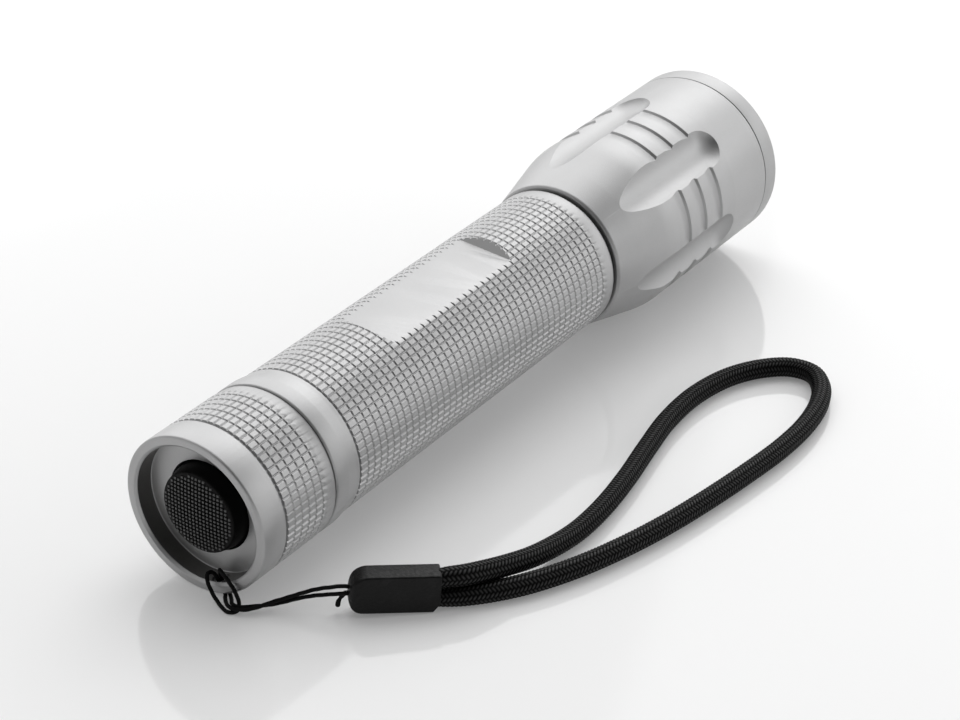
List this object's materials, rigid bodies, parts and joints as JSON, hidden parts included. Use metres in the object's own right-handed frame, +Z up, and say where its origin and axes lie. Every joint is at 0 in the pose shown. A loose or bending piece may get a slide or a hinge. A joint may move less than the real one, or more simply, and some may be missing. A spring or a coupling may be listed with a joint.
{
  "type": "handheld torch",
  "caption": "Aluminium handheld torch with a knurled grip, a sliding zoom head with finger scallops, a screw-on tail cap with a rubber push switch, and a braided wrist strap.",
  "frame": {"origin": "centre of the bottom of the box round the torch without its strap, on the surface it lies on", "axes": "+X along the torch towards its head, level with the surface, +Z up; the torch's own axis climbs 1.6 degrees towards the head, which is wider than the tail"},
  "size_m": [0.1909, 0.0908, 0.0429],
  "materials": {
    "silver_anodised": "bead-blasted, satin anodised",
    "black_rubber": "matte",
    "black_braid": "braided, matte",
    "ferrule_plastic": "satin",
    "clear_lens": "polished",
    "turned_brass": "turned",
    "spring_steel": "drawn",
    "circuit_board": "solder mask",
    "led_phosphor": "clear silicone over phosphor",
    "led_ceramic": "ceramic",
    "cell_wrap": "plain printed film wrap over a steel can",
    "switch_plastic": "moulded"
  },
  "bodies": {
    "body": {"body_tube": "silver_anodised", "neck_oring": "black_rubber", "zoom_bumper": "black_rubber", "stop_clip": "spring_steel", "led_pill": "turned_brass", "led_board": "circuit_board", "led_package": "led_ceramic", "led_dome": "led_phosphor", "driver_board": "circuit_board", "driver_spring": "spring_steel", "cell_1": "cell_wrap", "cell_2": "cell_wrap"},
    "head": {"head_shell": "silver_anodised", "bezel_ring": "silver_anodised", "lens": "clear_lens", "lens_gasket": "black_rubber"},
    "tail_seal": {"tail_oring": "black_rubber"},
    "tail_cap": {"tail_cap_shell": "silver_anodised", "switch_housing": "switch_plastic", "switch_board": "circuit_board", "switch_retainer": "turned_brass", "tail_spring": "spring_steel", "lanyard_string": "black_braid", "string_knot": "black_braid", "cord_ferrule": "ferrule_plastic", "wrist_cord": "black_braid"},
    "button": {"switch_boot": "black_rubber", "switch_plunger": "switch_plastic"}
  },
  "joints": [
    {"name": "zoom_slide", "type": "slide", "parent": "body", "child": "head", "axis": [0.9996, 0, 0.0277], "range_m": [0, 0.008]},
    {"name": "tail_cap_turn", "type": "hinge", "parent": "body", "child": "tail_seal", "pos_m": [-0.09352, 0, 0.01693], "axis": [-0.9996, 0, -0.0277], "range_deg": [0, 1800]},
    {"name": "tail_cap_travel", "type": "slide", "parent": "tail_seal", "child": "tail_cap", "axis": [-0.9996, 0, -0.0277], "range_m": [0, 0.0063]},
    {"name": "button_press", "type": "slide", "parent": "tail_cap", "child": "button", "axis": [0.9996, 0, 0.0277], "range_m": [0, 0.0015], "stiffness_N_per_m": 2000, "springref_m": -0.0012}
  ],
  "couplings": [
    {"joint": "tail_cap_travel", "follows": "tail_cap_turn", "m_per_rad": 0.00019894}
  ]
}
